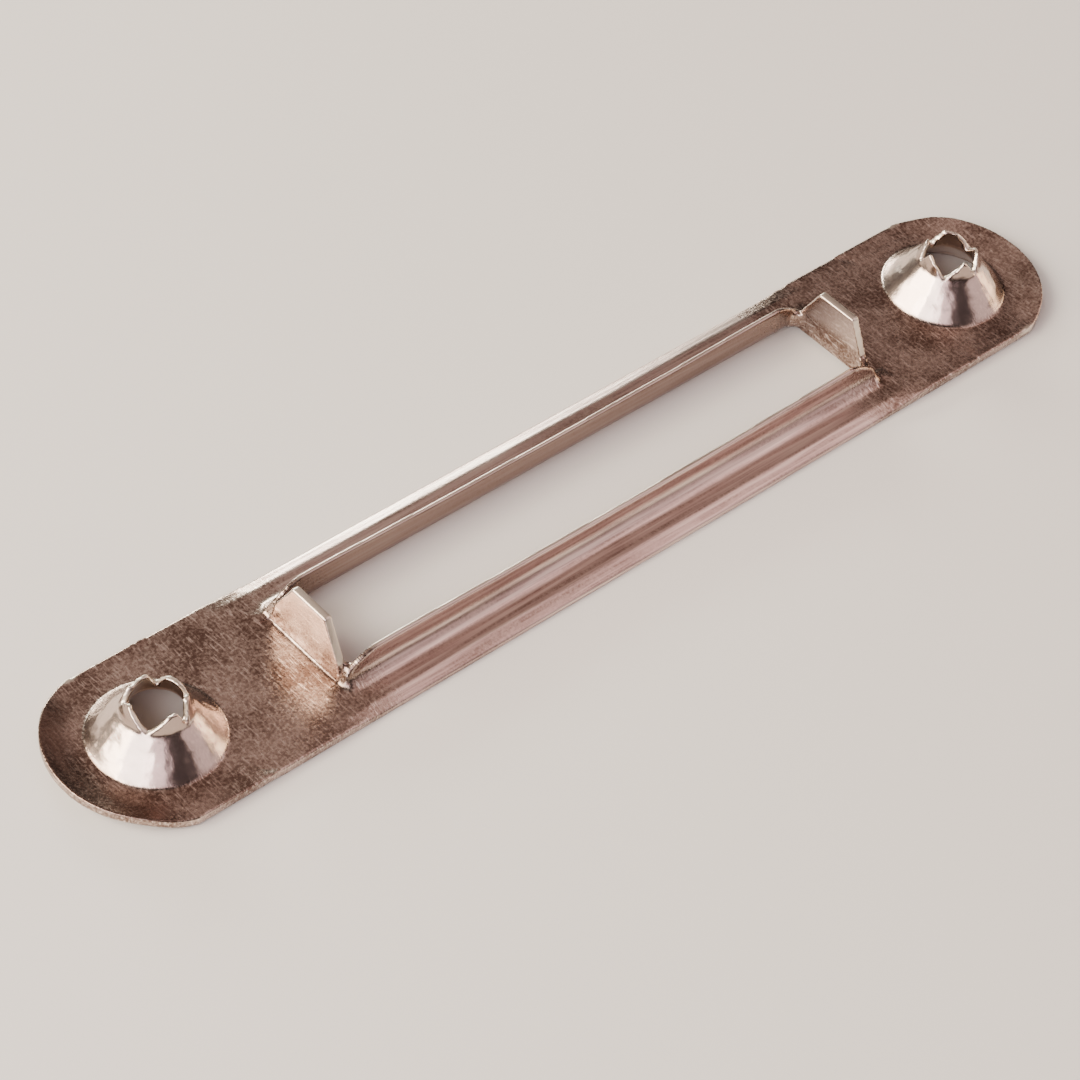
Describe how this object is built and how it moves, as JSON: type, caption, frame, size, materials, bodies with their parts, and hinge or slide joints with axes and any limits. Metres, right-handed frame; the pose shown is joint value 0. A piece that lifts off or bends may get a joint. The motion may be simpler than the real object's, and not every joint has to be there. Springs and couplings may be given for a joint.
{
  "type": "strike plate",
  "caption": "Pressed steel door strike plate with rounded ends, a latch slot drawn up into flanges and folded end tabs, and countersunk screw dimples with torn lips.",
  "frame": {"origin": "centre of the front face, which lies on the floor", "axes": "+X along the plate, +Y across it, +Z from the front face to the back, where the folded work stands"},
  "size_m": [0.107, 0.0174, 0.0061],
  "materials": {
    "plated_steel": "bright plated, lightly scratched"
  },
  "bodies": {
    "root": {"strike_plate": "plated_steel"}
  },
  "joints": []
}
